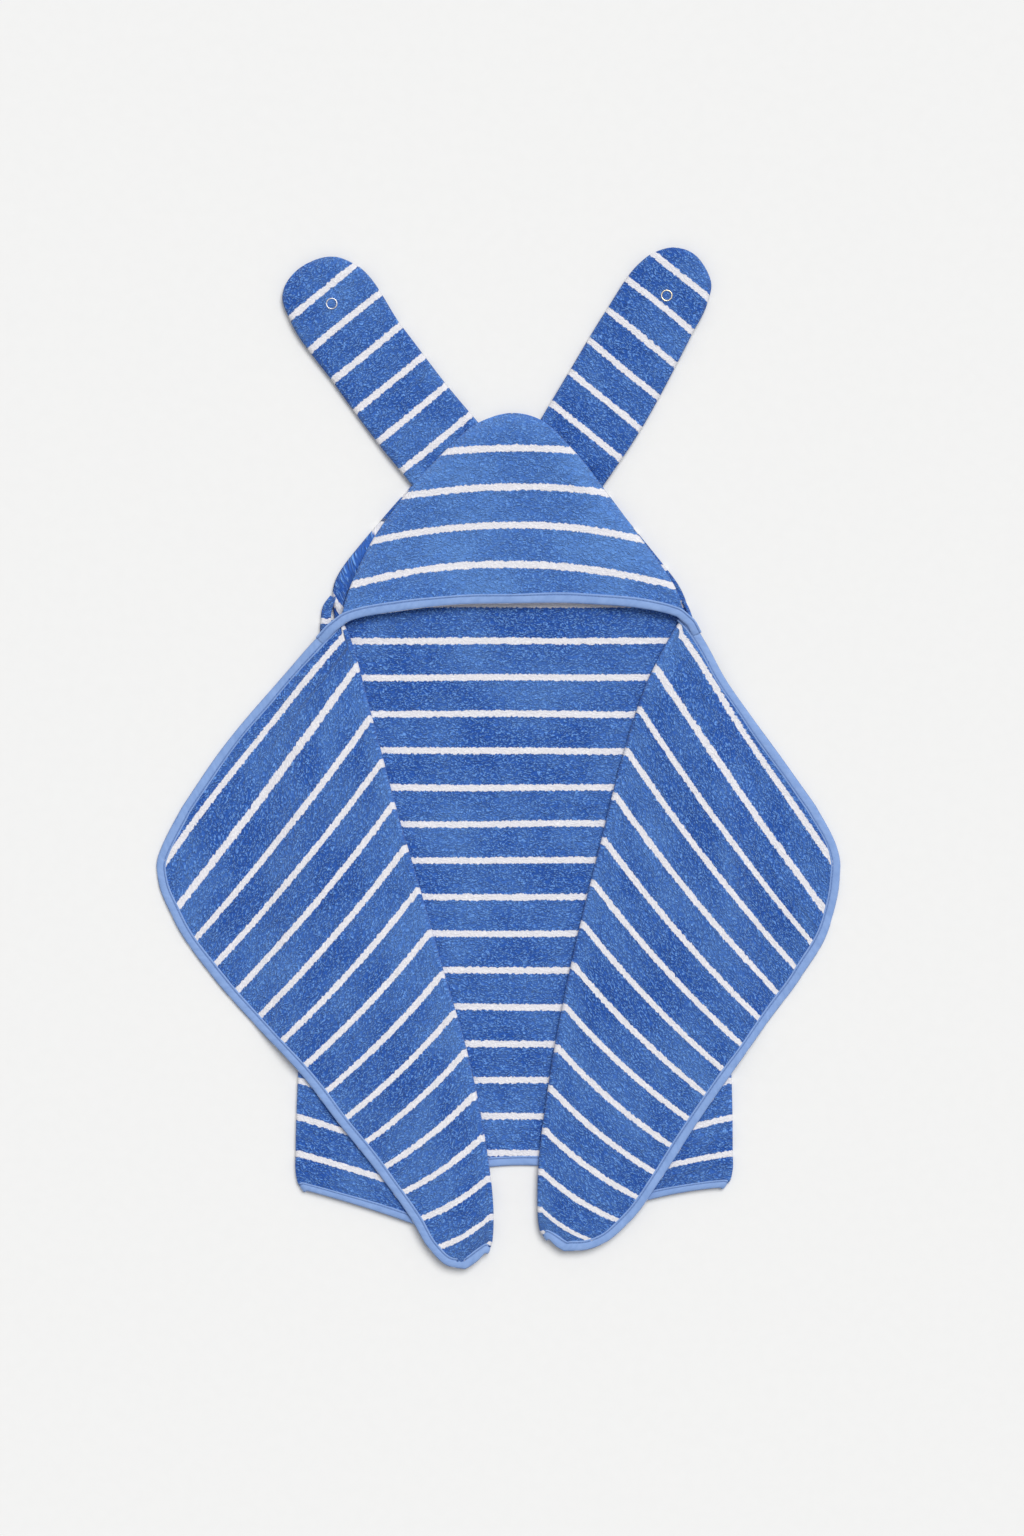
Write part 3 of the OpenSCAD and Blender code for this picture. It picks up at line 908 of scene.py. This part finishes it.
def hood_front_piece():
    """Front of the hood: sewn down along the seam, standing open along the face edge."""
    left, right = halves(HOOD_FRONT_SEAM, 104)
    up_hood = np.linspace(0, 1, 104)
    t = np.linspace(0, 1, 112)
    face = curve(HOOD_FACE_EDGE)(t)
    chord = left[0] * (1 - t[:, None]) + right[0] * t[:, None]
    p = spread(left, right, len(t)) + (face - chord)[:, None] * ((1 - up_hood) ** 3)[None, :, None]
    seam = np.concatenate([left, right[::-1]])
    away = distance_to(seam, p)
    x, y = p[..., 0], p[..., 1]
    corner = 1 - smooth((y - 0.134) / 0.045)
    over_ear = np.exp(-(((x + 0.05) / 0.036) ** 4)) + np.exp(-(((x - 0.069) / 0.036) ** 4))
    at_seam = 4.6 * MM + 8.6 * MM * corner + 2.4 * MM * np.clip(over_ear, 0, 1) * (1 - corner)
    rise = np.sqrt(1 - (1 - np.clip(away / ((24 - 8 * np.clip(over_ear, 0, 1)) * MM), 0, 1)) ** 2)
    z = at_seam + (HOOD_Z + 0.8 * MM * corner - at_seam) * rise
    z = z + 1.3 * MM * billow(x, y, 0.10, 1.0) * smooth(away / 0.05)
    # shallow pulls where the ears' roots are caught in the seam
    pull = np.sin((x + y * np.sign(x)) / (4.6 * MM)) * np.exp(-away / (14 * MM))
    z = z + 0.8 * MM * pull * np.clip(over_ear, 0, 1)
    mid = flat(p, z)
    from_face = np.linalg.norm(mid - mid[:, :1], axis=-1)
    thick = PRESSED_T + (CLOTH_T - PRESSED_T) * smooth((from_face - PRESSED_TO) / (6 * MM))
    v = (y + 0.9 * (x - 0.012) ** 2 - 0.178) / HOOD_PITCH * STRIPE_PITCH
    v = v + 0.8 * MM * billow(x, y, 0.15, 3.0)
    # Painted light: the raised hood is made lighter than the cloth that lies on the floor.
    cloth = np.stack([x, v, np.full_like(x, 5 + NO_PAINTED_LIGHT + 0.30)], axis=-1)
    obj = folded_sheet("hood_front_cloth", mid, cloth, thick, TERRY)
    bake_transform(obj)
    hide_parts("hood_front")
    path = np.concatenate([HOOD_EDGE_TAIL_LEFT * MM, mid[3:-3, 0], HOOD_EDGE_TAIL_RIGHT * MM])
    path = even_path(path, [])[0]
    tangent = unit(np.gradient(path, axis=0))
    up = unit(np.cross(tangent, np.cross([0.0, 0.0, 1.0], tangent)))
    inward = unit(np.cross(up, tangent))
    tape, sewing = binding("hood_edge_tape", path, inward, up)
    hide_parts("hood_edge_binding")
    for piece in (tape, sewing):
        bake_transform(piece)


class Ear:
    """An ear: two layers sewn round the rim, turned out, and caught in the hood's seam.

    Stripes cross it square to stripe_normal, from first_stripe on, a pitch apart, both in mm.
    The last argument paints light on the pile at the root, and paints shade where it is below zero."""

    def __init__(self, name, outline, snap_at, stripe_normal, first_stripe, pitch, root_painted_light):
        self.name = name
        self.root_painted_light = root_painted_light
        self.outline = outline
        self.snap_at = np.array(snap_at) * MM
        self.stripe_normal = stripe_normal
        self.first_stripe = first_stripe
        self.pitch = pitch

    def build(self):
        """Both layers, pleated at the root and held flat under the snap."""
        lower, upper = halves(self.outline, 100)
        p = spread(lower, upper, 42)
        rim = np.concatenate([lower, upper[::-1]])
        root = (lower[0] + upper[0]) / 2
        outward = unit(np.array([-(upper[0] - lower[0])[1], (upper[0] - lower[0])[0]]))
        if outward[1] < 0:
            outward = -outward
        from_root = (p - root) @ outward
        away = distance_to(rim, p)
        x, y = p[..., 0], p[..., 1]
        half = EAR_HALF * np.sqrt(1 - (1 - np.clip(away / (8 * MM), 0, 1)) ** 2)
        half = half * (0.5 + 0.5 * smooth(from_root / (20 * MM)))
        from_snap = np.linalg.norm(p - self.snap_at, axis=-1)
        # The cloth is held flat under the snap, and its middle sinks between root and tip.
        middle = 6.4 * MM - 1.9 * MM * (1 - smooth((from_root + 0.002) / 0.016))
        middle = middle - 1.5 * MM * smooth((from_root - 0.02) / 0.05) * smooth((from_snap - 0.02) / 0.06)
        middle = middle + 0.5 * MM * billow(x, y, 0.09, 4.0) * smooth((from_snap - 0.01) / 0.04)
        dimple = 0.5 * MM * np.exp(-(((from_snap - 8.5 * MM) / (3.5 * MM)) ** 2))
        across = (p - root) @ np.array([outward[1], -outward[0]])
        fan = across / (5.5 * MM + 0.22 * np.clip(from_root, 0, 1)) + 0.6
        pleat = np.sin(fan) * np.exp(-np.clip(from_root, 0, 1) / (16 * MM))
        half = np.maximum(half, 0.25 * MM)
        top = middle + half - dimple + 1.1 * MM * pleat * smooth(away / (12 * MM))
        top = np.where(from_snap < 7 * MM, 9.45 * MM, top)
        low = np.maximum(middle - half, 0.5 * MM)
        # Painted light and shade: the pleats and the root's folds are painted lighter on one side and
        # darker on the other.
        root_shade = self.root_painted_light * np.exp(-((from_root / (17 * MM)) ** 2))
        painted_light = (0.32 * pleat + root_shade) * (from_root > -4 * MM)
        painted_light = np.clip(painted_light, -0.45, 0.4)
        u_dir = np.array([-self.stripe_normal[1], self.stripe_normal[0]])
        u = p @ u_dir
        v = (p @ np.array(self.stripe_normal) - self.first_stripe * MM) / (self.pitch * MM) * STRIPE_PITCH
        v = v + 0.6 * MM * billow(x, y, 0.10, 6.0)
        for layer, z_low, z_high, seed in (("front", middle, top, 7.0), ("back", low, middle, 9.0)):
            mid = flat(p, (z_low + z_high) / 2)
            cloth = np.stack([u, v, seed + NO_PAINTED_LIGHT + painted_light], axis=-1)
            piece = folded_sheet(f"{self.name}_{layer}_cloth", mid, cloth, z_high - z_low, TERRY)
            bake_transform(piece)
            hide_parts(f"{self.name}_{layer}")


EARS = [
    Ear(
        "left_ear",
        [(-1, -77, 248), (-0.8, -109, 287), (-0.53, -151, 344), (-0.26, -192, 403), (-0.17, -199, 424),
         (-0.08, -191, 443), (0, -173, 456), (0.08, -152, 461), (0.16, -134, 455), (0.45, -89, 397),
         (0.74, -47, 342), (1, -15, 304)],
        (-153.5, 417.5), (0.636, -0.772), -434.2, 34.8, 0.12,
    ),
    Ear(
        "right_ear",
        [(-1, 35, 306), (-0.76, 63, 353), (-0.45, 98, 411), (-0.2, 129, 455), (-0.1, 143, 465),
         (0, 163, 469), (0.1, 183, 460), (0.19, 195, 437), (0.27, 191, 417), (0.4, 178, 391),
         (0.76, 129, 300), (1, 94, 248)],
        (154, 425), (-0.629, -0.777), -449.3, 33.1, -0.16,
    ),
]

centre_piece()
for towel_side in (LEFT, RIGHT):
    side_piece(towel_side)
    wing_piece(towel_side)
hood_front_piece()
for ear in EARS:
    ear.build()

METALS = {
    "left_snap_ring": PEWTER, "left_snap_socket": PEWTER, "left_snap_spring": PEWTER,
    "right_snap_ring": GOLD, "right_snap_stud": GOLD,
}
for node, metal in METALS.items():
    part = bpy.data.objects[node]
    part.data.materials.clear()
    part.data.materials.append(metal)

# ---------------------------------------------------------------- camera, light and floor

CAMERA_AT = (0.012, -0.0087, 3.338)
LENS_MM = 85
KEY_FROM = (0.28, 0.50, 1.0)
KEY_STRENGTH = 2.28
KEY_ANGLE = 0.6
FILL_STRENGTH = 0.45
FLOOR_HALF = 4.0


def look_down():
    """Camera straight above the towel."""
    data = bpy.data.cameras.new("camera")
    data.lens = LENS_MM
    data.sensor_width = 36
    data.sensor_fit = "AUTO"
    camera = bpy.data.objects.new("camera", data)
    bpy.context.collection.objects.link(camera)
    camera.location = CAMERA_AT
    bpy.context.scene.camera = camera


def studio():
    """Even white surroundings and one soft key light from above the hood."""
    world = bpy.data.worlds.new("studio")
    world.use_nodes = True
    world.node_tree.nodes["Background"].inputs[0].default_value = (1.0, 1.0, 1.0, 1)
    world.node_tree.nodes["Background"].inputs[1].default_value = FILL_STRENGTH
    bpy.context.scene.world = world
    bpy.context.scene.view_settings.view_transform = "Standard"
    data = bpy.data.lights.new("key", "SUN")
    data.energy = KEY_STRENGTH
    data.angle = KEY_ANGLE
    lamp = bpy.data.objects.new("key", data)
    bpy.context.collection.objects.link(lamp)
    lamp.rotation_euler = Vector(KEY_FROM).to_track_quat("Z", "Y").to_euler()


def floor():
    """Plain pale floor under the towel."""
    n = Nodes("studio_floor")
    place = n.add("ShaderNodeTexCoord").outputs["Object"]
    grain = n.noise(place, 90.0, 3.0)
    tone = n.mix(n.ramp(grain, 0.3, 0.7), (0.83, 0.83, 0.825, 1), (0.84, 0.84, 0.835, 1))
    n.finish(tone, 0.9, grain, 0.00005, Specular_IOR_Level=0.1)
    s = FLOOR_HALF
    corners = np.array([(-s, -s, 0), (s, -s, 0), (s, s, 0), (-s, s, 0)])
    ground = new_mesh("floor", corners, [[0, 1, 2, 3]], materials=[n.material])


look_down()
studio()
floor()
